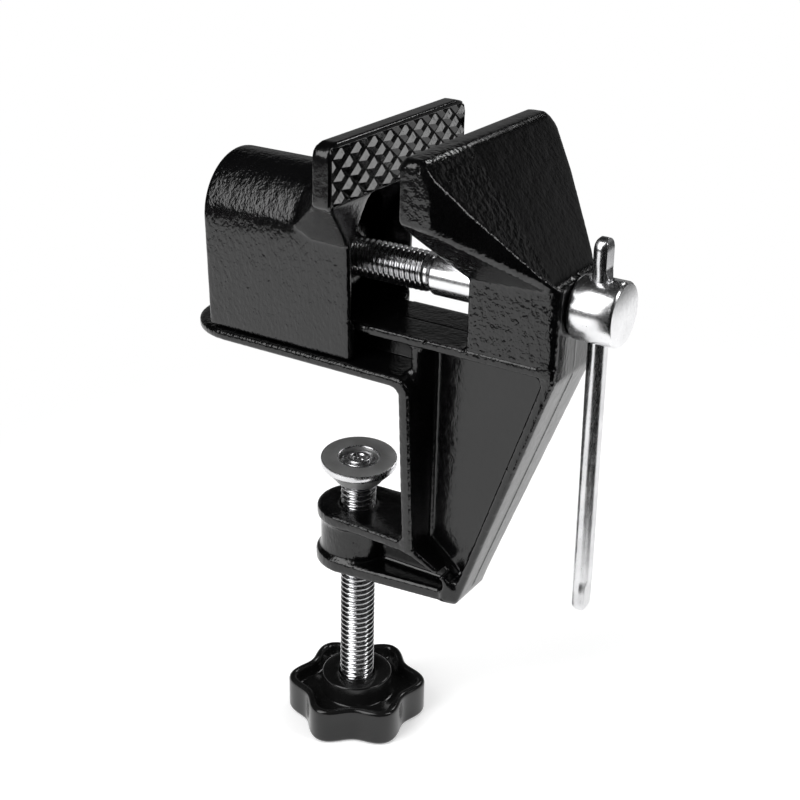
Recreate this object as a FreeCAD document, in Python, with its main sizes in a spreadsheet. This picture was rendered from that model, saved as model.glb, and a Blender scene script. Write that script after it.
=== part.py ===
import FreeCAD, Part
import itertools
import math
import os
import Sketcher
from FreeCAD import Placement, Rotation, Vector

# Clamp-on mini table vise, in millimetres.
# Origin: underside of the table plate on the clamp screw's axis.
# +X runs along the spindle to its head, +Y is the vise's left seen from the head, +Z is up.

os.makedirs("parts", exist_ok=True)
doc = FreeCAD.newDocument("table_vise")
sheet = doc.addObject("Spreadsheet::Sheet", "Dims")

DIMS = [
    ("plate_thick", 2.8), ("plate_half", 15.4), ("plate_rear", -32.0),
    ("throat_x", 20.7), ("rim_thick", 3.1), ("web_half", 2.6),
    ("rail_half", 10.8), ("rail_low", 9.7), ("rail_top", 12.0), ("rail_rear", -34.0),
    ("front_x", 59.1), ("block_rear", 36.1), ("block_half", 10.6), ("block_top", 30.4),
    ("arm_high", -43.5), ("arm_thick", 3.1), ("arm_radius", 11.0),
    ("foot_high", -56.7), ("foot_low", -60.2), ("foot_radius", 11.3), ("boss_radius", 10.0),
    ("jaw_half", 30.0), ("jaw_top", 60.45), ("front_jaw_x", 29.04), ("rear_jaw_x", 11.34),
    ("rear_jaw_back", 6.4), ("rear_jaw_top", 60.3),
    ("house_front", 6.2), ("house_rear", -37.4), ("house_half", 14.9), ("house_base_half", 13.9),
    ("house_low", 2.9), ("arch_z", 32.0),
    ("slot_half", 11.1), ("slot_roof", 12.2), ("slot_floor", 9.5), ("slot_neck", 3.0),
    ("lip_front", 2.0), ("shell_half", 12.3), ("shell_rear", -33.4), ("nut_radius", 8.5),
    ("nut_front", -2.0),
    ("spindle_z", 25.0), ("thread_radius", 4.94), ("tapped_radius", 5.0),
    ("neck_radius", 5.17), ("neck_bore", 5.25), ("thread_rear", -19.0),
    ("thread_front", 20.5), ("relief_radius", 4.55),
    ("head_radius", 7.73), ("head_rear", 59.25), ("head_front", 70.4),
    ("groove_x", 47.0), ("groove_radius", 3.5), ("groove_width", 3.4),
    ("pin_radius", 1.5), ("pin_inner", -5.5), ("pin_outer", 10.2),
    ("bar_x", 64.44), ("bar_radius", 2.38), ("bar_hole", 2.45), ("bar_up", 17.3),
    ("bar_down", 80.7), ("bar_flat", 9.2), ("bar_flat_half", 1.75), ("bar_wide_half", 2.75),
    ("bar_lean", 2.39),
    ("clamp_radius", 4.68), ("clamp_tapped", 4.75), ("shoulder_z", -35.8), ("tenon_radius", 3.0),
    ("clamp_low", -107.6),
    ("pad_radius", 10.1), ("pad_top", -30.07), ("pad_rim", 2.0), ("pad_low", -36.3),
    ("pad_recess", 5.2), ("pad_floor", -32.15), ("pad_web", -34.0), ("pad_hole", 3.9),
    ("pad_pivot", -33.4), ("pad_lean", 5.9), ("pad_lean_dir", 216.1),
    ("washer_radius", 4.6), ("washer_low", -31.55), ("washer_high", -30.8),
    ("knob_low", -110.2), ("knob_rim", -99.8), ("knob_dish", -103.2), ("hub_top", -97.3),
    ("hub_radius", 9.65), ("hub_hole", 5.5), ("hub_step", -102.0), ("knob_mean", 17.5),
    ("knob_wave", 1.65), ("knob_wall", 2.3),
]
for row, (name, value) in enumerate(DIMS, start=1):
    sheet.set(f"A{row}", name)
    sheet.set(f"B{row}", str(value))
    sheet.setAlias(f"B{row}", name)
doc.recompute()
D = {name: float(sheet.get(name)) for name, _ in DIMS}

# Sketch planes: where the sketch's own x and y point.
PLANES = {
    "XY": Rotation(),
    "XZ": Rotation(Vector(1, 0, 0), 90),
    "YZ": Rotation(Vector(1, 1, 1), 120),
}


def bind(obj, **expressions):
    for prop, expression in expressions.items():
        obj.setExpression(prop.replace("__", "."), expression)
    return obj


def box(label, x0, x1, y0, y1, z0, z1):
    """Box between six expressions."""
    obj = doc.addObject("Part::Box", label)
    bind(obj, Length=f"({x1}) - ({x0})", Width=f"({y1}) - ({y0})", Height=f"({z1}) - ({z0})")
    bind(obj, Placement__Base__x=x0, Placement__Base__y=y0, Placement__Base__z=z0)
    return obj


def cylinder_z(label, radius, z0, z1, x0="0"):
    obj = doc.addObject("Part::Cylinder", label)
    bind(obj, Radius=radius, Height=f"({z1}) - ({z0})")
    bind(obj, Placement__Base__x=x0, Placement__Base__z=z0)
    return obj


def cylinder_x(label, radius, x0, x1):
    """Cylinder on the spindle's axis."""
    obj = doc.addObject("Part::Cylinder", label)
    obj.Placement = Placement(Vector(), Rotation(Vector(0, 1, 0), 90))
    bind(obj, Radius=radius, Height=f"({x1}) - ({x0})")
    bind(obj, Placement__Base__x=x0, Placement__Base__z="Dims.spindle_z")
    return obj


def cone_x(label, r0, r1, x0, x1):
    obj = doc.addObject("Part::Cone", label)
    obj.Placement = Placement(Vector(), Rotation(Vector(0, 1, 0), 90))
    bind(obj, Radius1=r0, Radius2=r1, Height=f"({x1}) - ({x0})")
    bind(obj, Placement__Base__x=x0, Placement__Base__z="Dims.spindle_z")
    return obj


def prism(label, plane, outline, depth, base="0"):
    """Extrude a closed outline; a triple of points in it is an arc start, middle, end.

    XZ outlines are extruded evenly both ways, the others forwards from base.
    """
    sketch = doc.addObject("Sketcher::SketchObject", label + "_sketch")
    sketch.Placement = Placement(Vector(), PLANES[plane])
    if plane == "YZ":
        bind(sketch, Placement__Base__x=base)
    if plane == "XY":
        bind(sketch, Placement__Base__z=base)
    ends = []
    for item in outline:
        arc = isinstance(item[0], tuple)
        ends.append((item[0] if arc else item, item[2] if arc else item, item if arc else None))
    count = 0
    for i, (_, leave, arc) in enumerate(ends):
        if arc:
            points = [Vector(px, py, 0) for px, py in arc]
            sketch.addGeometry(Part.Arc(*points), False)
            count += 1
        arrive = ends[(i + 1) % len(ends)][0]
        if math.dist(leave, arrive) > 1e-6:
            sketch.addGeometry(Part.LineSegment(Vector(*leave, 0), Vector(*arrive, 0)), False)
            count += 1
    solid = doc.addObject("Part::Extrusion", label)
    solid.Base = sketch
    solid.DirMode = "Normal"
    solid.Solid = True
    solid.Symmetric = plane == "XZ"
    bind(solid, LengthFwd=depth)
    return solid


def hull(label, corners):
    """Convex solid round a list of corners."""
    points = [Vector(*corner) for corner in corners]
    centre = sum(points, Vector()) * (1.0 / len(points))
    planes = []
    for a, b, c in itertools.combinations(points, 3):
        normal = (b - a).cross(c - a)
        if normal.Length < 1e-6:
            continue
        normal.normalize()
        if normal.dot(a - centre) < 0:
            normal = normal * -1
        level = normal.dot(a)
        if max(normal.dot(p) for p in points) > level + 1e-4:
            continue
        if not any((normal - n).Length < 1e-4 and abs(level - l) < 1e-3 for n, l in planes):
            planes.append((normal, level))
    faces = []
    for normal, level in planes:
        ring = [p for p in points if abs(normal.dot(p) - level) < 1e-3]
        middle = sum(ring, Vector()) * (1.0 / len(ring))
        side = (ring[0] - middle).normalize()
        other = normal.cross(side)
        ring.sort(key=lambda p: math.atan2((p - middle).dot(other), (p - middle).dot(side)))
        corners = [
            p for i, p in enumerate(ring)
            if (p - ring[i - 1]).cross(ring[(i + 1) % len(ring)] - p).dot(normal) > 1e-6
        ]
        faces.append(Part.Face(Part.makePolygon(corners + corners[:1])))
    shell = Part.makeShell(faces)
    shell.sewShape()
    obj = doc.addObject("Part::Feature", label)
    obj.Shape = Part.makeSolid(shell)
    return obj


def join(label, *pieces):
    obj = doc.addObject("Part::MultiFuse", label)
    obj.Shapes = list(pieces)
    obj.Refine = True
    return obj


def common(label, a, b):
    obj = doc.addObject("Part::MultiCommon", label)
    obj.Shapes = [a, b]
    return obj


def cut(label, a, b):
    obj = doc.addObject("Part::Cut", label)
    obj.Base = a
    obj.Tool = b
    obj.Refine = True
    return obj


def rounded(label, base, radius, test):
    """Fillet every edge of base that passes the test."""
    doc.recompute()
    obj = doc.addObject("Part::Fillet", label)
    obj.Base = base
    obj.Edges = [
        (i, radius, radius) for i, edge in enumerate(base.Shape.Edges, start=1) if test(edge)
    ]
    doc.recompute()
    if obj.Shape.isNull() or not obj.Shape.isValid():
        raise RuntimeError(label)
    return obj


def mirrored(points):
    """Outline on +Y completed with its mirror image."""
    return points + [(-y, z) for y, z in reversed(points)]


def upright(edge):
    """True for a straight edge along Z."""
    if len(edge.Vertexes) != 2:
        return False
    a, b = (v.Point for v in edge.Vertexes)
    return abs(a.x - b.x) < 1e-4 and abs(a.y - b.y) < 1e-4


# ---------------------------------------------------------------- fixed casting
half = D["plate_half"]
rear = D["plate_rear"]
throat = D["throat_x"]
rim_x = throat + D["rim_thick"]
plate = prism(
    "plate", "XY",
    [(throat - 3, -half), (throat - 3, half),
     ((rear, half), (rear - half, 0.0), (rear, -half))],
    "Dims.plate_thick",
)
# The rim turns down from the plate and runs to the arm.
turn_in = 2.0
turn_out = 4.0
k = math.sqrt(0.5)
thick = D["plate_thick"]
rim_run = prism(
    "rim_run", "XZ",
    [(throat - 4, 0.0),
     ((throat - turn_in, 0.0), (throat - turn_in + turn_in * k, -turn_in + turn_in * k),
      (throat, -turn_in)),
     (throat, D["arm_high"] - 1.0), (rim_x, D["arm_high"] - 1.0 - 1.6),
     ((rim_x, thick - turn_out), (rim_x - turn_out + turn_out * k, thick - turn_out + turn_out * k),
      (rim_x - turn_out, thick)),
     (throat - 4, thick)],
    "2 * Dims.plate_half",
)
rim_side = prism(
    "rim_side", "YZ",
    mirrored([(half, thick + 1), (half, 0.0), (12.1, D["arm_high"]), (11.7, -48.0)]),
    "Dims.rim_thick + 10", "Dims.throat_x - 8",
)
rim = common("rim", rim_run, rim_side)
stay = box("stay", "Dims.throat_x + 0.5", "Dims.throat_x + Dims.rim_thick",
           "-Dims.block_half", "Dims.block_half", "Dims.plate_thick - 3", "Dims.rail_low + 0.5")
rail = box("rail", "Dims.rail_rear", "Dims.front_x - 0.6", "-Dims.rail_half", "Dims.rail_half",
           "Dims.rail_low", "Dims.rail_top")
rail_web = box("rail_web", "Dims.rail_rear", "Dims.throat_x + 2", "-Dims.web_half",
               "Dims.web_half", "Dims.plate_thick - 0.5", "Dims.rail_low + 0.5")

# Sloping front flange, bent upright where it meets the rail.
front = D["front_x"]
flange_run = prism(
    "flange_run", "XZ",
    [(front, D["rail_top"]), (front, 8.6), (38.1, -50.0), (35.2, -58.2),
     ((34.9, -59.0), (34.4, -59.9), (33.4, D["foot_low"])),
     (31.5, D["foot_low"]), (33.3, -56.2), (36.8, -47.0), (51.5, -4.3), (55.2, 6.6),
     ((55.4, 7.4), (55.2, 9.0), (53.6, D["rail_low"])),
     (53.0, D["rail_top"])],
    "2 * Dims.rail_half",
)
flange_side = prism(
    "flange_side", "YZ",
    mirrored([(10.7, D["rail_top"]), (10.4, 8.0), (9.9, 0.0), (7.3, -50.0), (7.0, D["foot_low"])]),
    "Dims.front_x", "5",
)
flange = common("flange", flange_run, flange_side)
brace_run = prism(
    "brace_run", "XZ",
    [(rim_x, -45.6), (28.7, -49.7), (31.2, -51.8), (33.9, -55.2), (34.2, -59.0), (31.0, -59.0),
     (30.9, -54.2), (29.7, -52.5), (25.8, -49.9), (21.0, D["arm_high"] - D["arm_thick"]),
     (21.0, -44.4)],
    "2 * Dims.plate_half",
)
brace_side = prism(
    "brace_side", "XY",
    [(20.0, -12.1), (35.0, -7.5), (35.0, 7.5), (20.0, 12.1)],
    "30", "-65",
)
brace = common("brace", brace_run, brace_side)
web = prism(
    "web", "XZ",
    [(22.0, 10.0), (57.0, 10.0), (56.5, 7.0), (54.3, -1.0), (34.0, -58.0), (8.0, -58.0),
     (8.0, -46.0), (22.0, -46.0)],
    "2 * Dims.web_half",
)
arm_r = D["arm_radius"]
upper_arm = prism(
    "upper_arm", "XY",
    [((0.0, arm_r), (-arm_r, 0.0), (0.0, -arm_r)), (throat + 1.6, -12.0), (throat + 1.6, 12.0)],
    "Dims.arm_thick", "Dims.arm_high - Dims.arm_thick",
)
foot_r = D["foot_radius"]
lower_arm = prism(
    "lower_arm", "XY",
    [((0.0, foot_r), (-foot_r, 0.0), (0.0, -foot_r)), (33.0, -7.3), (33.0, 7.3)],
    "Dims.foot_high - Dims.foot_low", "Dims.foot_low",
)
boss = cylinder_z("boss", "Dims.boss_radius", "Dims.foot_low + 1", "Dims.arm_high - 1")

# Front jaw and the block that carries the spindle's neck.
jaw = D["jaw_half"]
jx = D["front_jaw_x"]
# Each end of the jaw is a face with a rounded top corner; rings of corners go round it.
jaw_end = [
    (jx, 57.2), (30.0, 58.6), (31.4, 59.2), (32.8, 58.9), (34.4, 57.5), (35.8, 55.4),
    (36.8, 52.8), (37.2, 50.5), (37.2, 47.3), (36.6, 46.2), (30.4, 46.4), (jx, 47.6),
]
jaw_shoulder = [
    (jx, 59.3), (30.6, 60.2), (33.2, 60.2), (35.2, 59.0), (36.9, 57.2), (36.6, 44.9), (jx, 45.6),
]
jaw_corners = []
for s in (-1, 1):
    jaw_corners += [(x, s * jaw, z) for x, z in jaw_end]
    jaw_corners += [(x, s * (jaw - 0.9), z) for x, z in jaw_shoulder]
    jaw_corners += [
        (jx, s * (jaw - 3.0), D["jaw_top"]), (34.3, s * (jaw - 3.0), D["jaw_top"]),
        (44.4, s * 23.4, 48.1), (52.1, s * 16.2, 38.6), (57.6, s * 10.9, 31.9),
        (55.8, s * 11.0, 30.75), (36.2, s * (jaw - 1.7), 44.4), (jx, s * (jaw - 1.7), 45.0),
        (jx, s * 14.5, 36.1), (D["block_rear"], s * D["block_half"], 29.7),
    ]
front_jaw = hull("front_jaw", jaw_corners)
block = box("block", "Dims.block_rear", "Dims.front_x", "-Dims.block_half", "Dims.block_half",
            "Dims.rail_top - 0.5", "Dims.block_top + 1.2")
block_round = rounded(
    "block_round", block, 2.0, lambda e: upright(e) and e.BoundBox.XMin > D["front_x"] - 1)
solid_frame = join(
    "frame_solid", plate, rim, stay, rail, rail_web, flange, brace, web, upper_arm, lower_arm,
    boss, front_jaw, block_round)
neck_bore = cylinder_x("neck_bore", "Dims.neck_bore", "Dims.front_jaw_x - 1",
                       "Dims.front_x + 1")
clamp_bore = cylinder_z("clamp_bore", "Dims.clamp_tapped", "Dims.foot_low - 1", "Dims.arm_high + 1")
pin_hole = doc.addObject("Part::Cylinder", "pin_hole")
pin_hole.Placement = Placement(Vector(), Rotation(Vector(1, 0, 0), -90))
bind(pin_hole, Radius="Dims.pin_radius + 0.01",
     Height="Dims.block_half - Dims.pin_inner + 1",
     Placement__Base__x="Dims.groove_x", Placement__Base__y="Dims.pin_inner - 0.1",
     Placement__Base__z="Dims.spindle_z - Dims.groove_radius - Dims.pin_radius - 0.1")
frame_holes = join("frame_holes", neck_bore, clamp_bore, pin_hole)
body_casting = cut("body_casting", solid_frame, frame_holes)

# ---------------------------------------------------------------- sliding casting
arch_r = D["house_half"]
arch_z = D["arch_z"]
base_half = D["house_base_half"]
house = prism(
    "house", "YZ",
    [(base_half, D["house_low"]),
     ((arch_r, arch_z), (0.0, arch_z + arch_r), (-arch_r, arch_z)),
     (-base_half, D["house_low"])],
    "Dims.house_front - Dims.house_rear", "Dims.house_rear",
)
house_round = rounded(
    "house_round", house, 1.0,
    lambda e: e.BoundBox.ZMax > D["house_low"] + 1 and e.BoundBox.XMax - e.BoundBox.XMin < 0.01)
back = D["rear_jaw_back"]
face = D["rear_jaw_x"]
top = D["rear_jaw_top"]
plate_corners = []
for s in (-1, 1):
    for x in (back, face):
        plate_corners += [
            (x, s * (jaw - 3.6), top), (x, s * (jaw - 1.5), top - 0.6),
            (x, s * (jaw - 0.3), top - 1.7), (x, s * jaw, top - 3.2),
            (x, s * jaw, 46.4), (x, s * (jaw - 0.8), 45.5), (x, s * 14.5, 32.2),
        ]
rear_jaw = hull("rear_jaw", plate_corners)
gusset_corners = []
for s in (-1, 1):
    gusset_corners += [
        (back + 1, s * (jaw - 0.9), 49.6), (back + 1, s * (jaw - 0.9), 45.6),
        (back, s * (jaw - 0.9), 49.6), (back, s * (jaw - 0.9), 45.6),
        (-7.8, s * 12.0, 42.6), (-10.2, s * 14.0, 34.5), (-10.2, s * 14.0, 33.9),
        (-4.7, s * 14.4, 31.8), (5.7, s * 14.5, 31.7), (back, s * 13.0, 44.0),
    ]
gusset = hull("gusset", gusset_corners)
# Below the jaw the front runs back to the housing's face.
chin = hull("chin", [
    (x, s * y, z) for s in (-1, 1) for x, y, z in
    [(face, 14.5, 36.0), (face, 16.0, 40.0), (face, 14.0, 45.0), (back, 14.6, 32.0),
     (back - 0.3, 12.0, 24.0), (back - 2, 12.0, 24.0), (back - 2, 14.0, 45.0)]
])
jaw_trim = prism(
    "jaw_trim", "XZ", [(6.2, 14.0), (6.2, 33.0), (12.5, 48.93), (12.5, 14.0)],
    "2 * Dims.jaw_half + 4")
slide_solid = join("slide_solid", house_round, rear_jaw, gusset, chin)
slide_trimmed = cut("slide_trimmed", slide_solid, jaw_trim)
# The housing is a shell, open at the front up to the jaw, with the nut boss inside it.
shell = D["shell_half"]
shell_run = prism(
    "shell_run", "YZ",
    [(shell, D["slot_roof"]), ((shell, arch_z), (0.0, arch_z + shell), (-shell, arch_z)),
     (-shell, D["slot_roof"])],
    "Dims.house_front - Dims.shell_rear + 8", "Dims.shell_rear",
)
shell_mouth = hull("shell_mouth", [
    (x, s * y, z) for s in (-1, 1) for x, y, z in
    [(12.5, 13.2, 46.0), (8.0, 13.1, 45.4), (12.5, 12.8, D["slot_roof"]),
     (-3.0, shell, D["slot_roof"]), (-3.0, shell, arch_z), (-3.0, 8.7, 40.7), (-3.0, 3.0, 43.9)]
])
hollow = join("hollow", shell_run, shell_mouth)
slide_shell = cut("slide_shell", slide_trimmed, hollow)
nut_boss = cylinder_x("nut_boss", "Dims.nut_radius", "Dims.shell_rear - 1", "Dims.nut_front")
slide_bossed = join("slide_bossed", slide_shell, nut_boss)
slot_head = box("slot_head", "Dims.house_rear - 1", "Dims.house_front + 1", "-Dims.slot_half",
                "Dims.slot_half", "Dims.slot_floor", "Dims.slot_roof")
slot_neck = box("slot_neck", "Dims.house_rear - 1", "Dims.house_front + 1", "-Dims.slot_neck",
                "Dims.slot_neck", "Dims.house_low - 1", "Dims.slot_floor + 0.5")
slot_mouth = box("slot_mouth", "Dims.lip_front", "Dims.house_front + 1", "-Dims.slot_half",
                 "Dims.slot_half", "Dims.house_low - 1", "Dims.slot_floor + 0.5")
tapped = cylinder_x("tapped", "Dims.tapped_radius", "Dims.house_rear - 1", "Dims.rear_jaw_x + 1")
slide_holes = join("slide_holes", slot_head, slot_neck, slot_mouth, tapped)
slide_casting = cut("slide_casting", slide_bossed, slide_holes)

# ---------------------------------------------------------------- spindle
spindle_solid = join(
    "spindle_solid",
    cone_x("thread_lead", "Dims.thread_radius - 1", "Dims.thread_radius", "Dims.thread_rear",
           "Dims.thread_rear + 1"),
    cylinder_x("thread", "Dims.thread_radius", "Dims.thread_rear + 1", "Dims.thread_front"),
    cylinder_x("relief", "Dims.relief_radius", "Dims.thread_front", "Dims.thread_front + 1"),
    cone_x("shoulder", "Dims.relief_radius", "Dims.neck_radius", "Dims.thread_front + 1",
           "Dims.thread_front + 1.8"),
    cylinder_x("neck_inner", "Dims.neck_radius", "Dims.thread_front + 1.8",
               "Dims.groove_x - Dims.groove_width / 2"),
    cylinder_x("groove", "Dims.groove_radius", "Dims.groove_x - Dims.groove_width / 2",
               "Dims.groove_x + Dims.groove_width / 2"),
    cylinder_x("neck_outer", "Dims.neck_radius", "Dims.groove_x + Dims.groove_width / 2",
               "Dims.head_rear"),
    cone_x("head_lead", "Dims.head_radius - 0.6", "Dims.head_radius", "Dims.head_rear",
           "Dims.head_rear + 0.6"),
    cylinder_x("head", "Dims.head_radius", "Dims.head_rear + 0.6", "Dims.head_front - 0.5"),
    cone_x("head_end", "Dims.head_radius", "Dims.head_radius - 0.5", "Dims.head_front - 0.5",
           "Dims.head_front"),
)


def on_bar(obj, start):
    """Stand a primitive on the bar's axis, its base a given way along from the head's centre."""
    obj.Placement = Placement(Vector(), Rotation(Vector(1, 0, 0), 2.39))
    bind(obj, Placement__Rotation__Angle="Dims.bar_lean", Placement__Base__x="Dims.bar_x",
         Placement__Base__y=f"-({start}) * sin(Dims.bar_lean * 1 deg)",
         Placement__Base__z=f"Dims.spindle_z + ({start}) * cos(Dims.bar_lean * 1 deg)")
    return obj


bar_hole = on_bar(doc.addObject("Part::Cylinder", "bar_hole"), "-12")
bind(bar_hole, Radius="Dims.bar_hole", Height="24")
main_spindle = cut("main_spindle", spindle_solid, bar_hole)

retaining_pin = doc.addObject("Part::Cylinder", "retaining_pin")
retaining_pin.Placement = Placement(Vector(), Rotation(Vector(1, 0, 0), -90))
bind(retaining_pin, Radius="Dims.pin_radius", Height="Dims.pin_outer - Dims.pin_inner",
     Placement__Base__x="Dims.groove_x", Placement__Base__y="Dims.pin_inner",
     Placement__Base__z="Dims.spindle_z - Dims.groove_radius - Dims.pin_radius - 0.1")

# ---------------------------------------------------------------- tommy bar
# Each end is pressed flat, so it is wider than the hole and keeps the bar in the head.
rod = on_bar(doc.addObject("Part::Cylinder", "bar_rod"), "-(Dims.bar_down - Dims.bar_flat)")
bind(rod, Radius="Dims.bar_radius",
     Height="Dims.bar_down + Dims.bar_up - 2 * Dims.bar_flat")
bar_pieces = [rod]
for name, start, sign in (("low", "-Dims.bar_down", -1), ("high", "Dims.bar_up - Dims.bar_flat", 1)):
    flat_half = D["bar_flat_half"]
    wide_half = D["bar_wide_half"]
    length = D["bar_flat"]
    # Flat end, drawn across and along the bar with a rounded tip.
    tip = [(-wide_half + 0.5, 0.0), (-wide_half, 1.2),
           ((-wide_half, length - wide_half), (0.0, length), (wide_half, length - wide_half)),
           (wide_half, 1.2), (wide_half - 0.5, 0.0)]
    flat = prism(f"bar_{name}_flat", "XZ", tip, "2 * Dims.bar_flat_half")
    turn = Rotation(Vector(1, 0, 0), D["bar_lean"])
    if sign < 0:
        turn = turn * Rotation(Vector(1, 0, 0), 180)
    flip = turn * Rotation(Vector(0, 0, 1), 90)
    reach = D["bar_up"] - length if sign > 0 else D["bar_down"] - length
    along = Rotation(Vector(1, 0, 0), D["bar_lean"]).multVec(Vector(0, 0, sign * reach))
    flat.Base.Placement = Placement(
        Vector(D["bar_x"], 0, D["spindle_z"]) + along, flip * PLANES["XZ"])
    bar_pieces.append(flat)
tommy_bar = join("tommy_bar", *bar_pieces)

# ---------------------------------------------------------------- clamp screw
clamp_screw = join(
    "clamp_screw",
    cylinder_z("clamp_rod", "Dims.clamp_radius", "Dims.clamp_low", "Dims.shoulder_z"),
    cylinder_z("tenon", "Dims.tenon_radius", "Dims.shoulder_z", "Dims.washer_high"),
    cylinder_z("rivet", "Dims.tenon_radius + 0.5", "Dims.washer_high", "Dims.washer_high + 0.6"),
)
pad_washer = cut(
    "pad_washer",
    cylinder_z("washer_disc", "Dims.washer_radius", "Dims.washer_low", "Dims.washer_high"),
    cylinder_z("washer_hole", "Dims.tenon_radius + 0.05", "Dims.washer_low - 1",
               "Dims.washer_high + 1"),
)

# ---------------------------------------------------------------- pressure pad
pad_profile = [
    (D["pad_hole"], D["pad_web"]), (5.6, D["pad_low"]), (6.4, D["pad_low"]),
    (D["pad_radius"] - 0.3, D["pad_top"] - D["pad_rim"]), (D["pad_radius"], D["pad_top"] - 1.5),
    (D["pad_radius"], D["pad_top"] - 0.3), (D["pad_radius"] - 0.3, D["pad_top"]),
    (D["pad_recess"], D["pad_top"]), (D["pad_recess"], D["pad_floor"]),
    (D["pad_hole"], D["pad_floor"]),
]
pad_body = doc.addObject("PartDesign::Body", "pressure_pad")
pad_sketch = pad_body.newObject("Sketcher::SketchObject", "pad_sketch")
pad_sketch.Placement = Placement(Vector(), PLANES["XZ"])
for a, b in zip(pad_profile, pad_profile[1:] + pad_profile[:1]):
    pad_sketch.addGeometry(Part.LineSegment(Vector(*a, 0), Vector(*b, 0)), False)
pad_turned = pad_body.newObject("PartDesign::Revolution", "pad_turned")
pad_turned.Profile = pad_sketch
pad_turned.ReferenceAxis = (pad_sketch, ["V_Axis"])
pad_turned.Angle = 360
pad_body.Tip = pad_turned
lean_dir = math.radians(D["pad_lean_dir"])
lean_axis = Vector(math.cos(lean_dir), math.sin(lean_dir), 0)
lean = Rotation(lean_axis, -D["pad_lean"])
pivot = Vector(0, 0, D["pad_pivot"])
pad_body.Placement = Placement(pivot - lean.multVec(pivot), lean)
pressure_pad = pad_body

# ---------------------------------------------------------------- star knob
def lobed(label, shrink, low, high):
    """Six-lobed prism, drawn in by shrink."""
    sketch = doc.addObject("Sketcher::SketchObject", label + "_sketch")
    bind(sketch, Placement__Base__z=low)
    points = []
    for i in range(72):
        angle = math.radians(5 * i)
        radius = D["knob_mean"] - shrink - D["knob_wave"] * math.cos(6 * angle)
        points.append(Vector(radius * math.cos(angle), radius * math.sin(angle), 0))
    curve = Part.BSplineCurve()
    curve.interpolate(points, PeriodicFlag=True)
    sketch.addGeometry(curve, False)
    solid = doc.addObject("Part::Extrusion", label)
    solid.Base = sketch
    solid.DirMode = "Normal"
    solid.Solid = True
    bind(solid, LengthFwd=f"({high}) - ({low})")
    return solid


knob_skirt = lobed("knob_skirt", 0.0, "Dims.knob_low + 1.5", "Dims.knob_rim - 1")
knob_bevel = lobed("knob_bevel", 0.9, "Dims.knob_low", "Dims.knob_rim")
knob_dish = lobed("knob_dish_cut", D["knob_wall"] + 0.9, "Dims.knob_dish", "Dims.knob_rim + 1")
knob_disc = cut("knob_disc", join("knob_outer", knob_skirt, knob_bevel), knob_dish)
hub = cylinder_z("hub", "Dims.hub_radius", "Dims.knob_dish - 1", "Dims.hub_top")
knob_bores = join(
    "knob_bores",
    cylinder_z("hub_counterbore", "Dims.hub_hole", "Dims.hub_step", "Dims.hub_top + 1"),
    cylinder_z("hub_bore", "Dims.clamp_radius + 0.005", "Dims.clamp_low", "Dims.hub_step + 1"),
)
star_knob = cut("star_knob", join("knob_solid", knob_disc, hub), knob_bores)

# ---------------------------------------------------------------- export
doc.recompute()
for obj in doc.Objects:
    if "Invalid" in obj.State or "Error" in obj.State:
        raise RuntimeError(f"{obj.Label}: {obj.State}")
    if hasattr(obj, "Shape") and (obj.Shape.isNull() or not obj.Shape.isValid()):
        raise RuntimeError(f"{obj.Label}: bad shape")

NODES = {
    "body_casting": body_casting,
    "slide_casting": slide_casting,
    "main_spindle": main_spindle,
    "retaining_pin": retaining_pin,
    "tommy_bar": tommy_bar,
    "clamp_screw": clamp_screw,
    "pad_washer": pad_washer,
    "pressure_pad": pressure_pad,
    "star_knob": star_knob,
}
for name, obj in NODES.items():
    obj.Label = name
    shape = obj.Shape
    shape.exportStep(f"parts/{name}.step")
    size = shape.BoundBox
    print(f"{name}: {len(shape.Solids)} solid, {shape.Volume:.1f} mm3, "
          f"x {size.XMin:.2f} {size.XMax:.2f}, y {size.YMin:.2f} {size.YMax:.2f}, "
          f"z {size.ZMin:.2f} {size.ZMax:.2f}")
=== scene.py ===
import math
import bmesh
import bpy
import numpy as np
import openvdb
from mathutils import Matrix, Vector


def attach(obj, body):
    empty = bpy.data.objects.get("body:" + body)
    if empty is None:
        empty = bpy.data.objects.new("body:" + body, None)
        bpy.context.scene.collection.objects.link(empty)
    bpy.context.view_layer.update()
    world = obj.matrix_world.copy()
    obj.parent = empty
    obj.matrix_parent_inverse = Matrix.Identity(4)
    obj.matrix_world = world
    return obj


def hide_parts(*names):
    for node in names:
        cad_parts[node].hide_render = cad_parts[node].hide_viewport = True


# Clamp-on table vise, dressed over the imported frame. The spindle lies along X with its head
# at the high end, the jaws are wide along Y, and the clamp screw stands along Z through the
# origin. Lengths are millimetres, except in the materials and the stage, which are in metres.
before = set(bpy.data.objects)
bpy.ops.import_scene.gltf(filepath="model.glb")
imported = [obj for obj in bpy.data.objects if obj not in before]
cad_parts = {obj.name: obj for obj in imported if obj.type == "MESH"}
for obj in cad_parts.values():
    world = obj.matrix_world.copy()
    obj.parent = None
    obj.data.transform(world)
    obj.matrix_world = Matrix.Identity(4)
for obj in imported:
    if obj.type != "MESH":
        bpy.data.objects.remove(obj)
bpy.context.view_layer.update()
MM = 0.001
FULL_TURN = 2 * math.pi

THREAD_PITCH = 1.5      # of the spindle and of the clamp screw
SPINDLE_Z = 25.0        # height of the spindle's axis
KNOB_FOOT_Z = -110.2    # underside of the star knob, the lowest point


# ---------------------------------------------------------------- node helpers
def new_material(name):
    """A node material: (material, node tree, principled shader)."""
    mat = bpy.data.materials.new(name)
    mat.use_nodes = True
    return mat, mat.node_tree, mat.node_tree.nodes["Principled BSDF"]


def add(tree, kind, **values):
    """A node with settings and input values."""
    node = tree.nodes.new(kind)
    for key, value in values.items():
        if hasattr(node, key) and key not in node.inputs:
            setattr(node, key, value)
        else:
            node.inputs[key.replace("_", " ")].default_value = value
    return node


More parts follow.
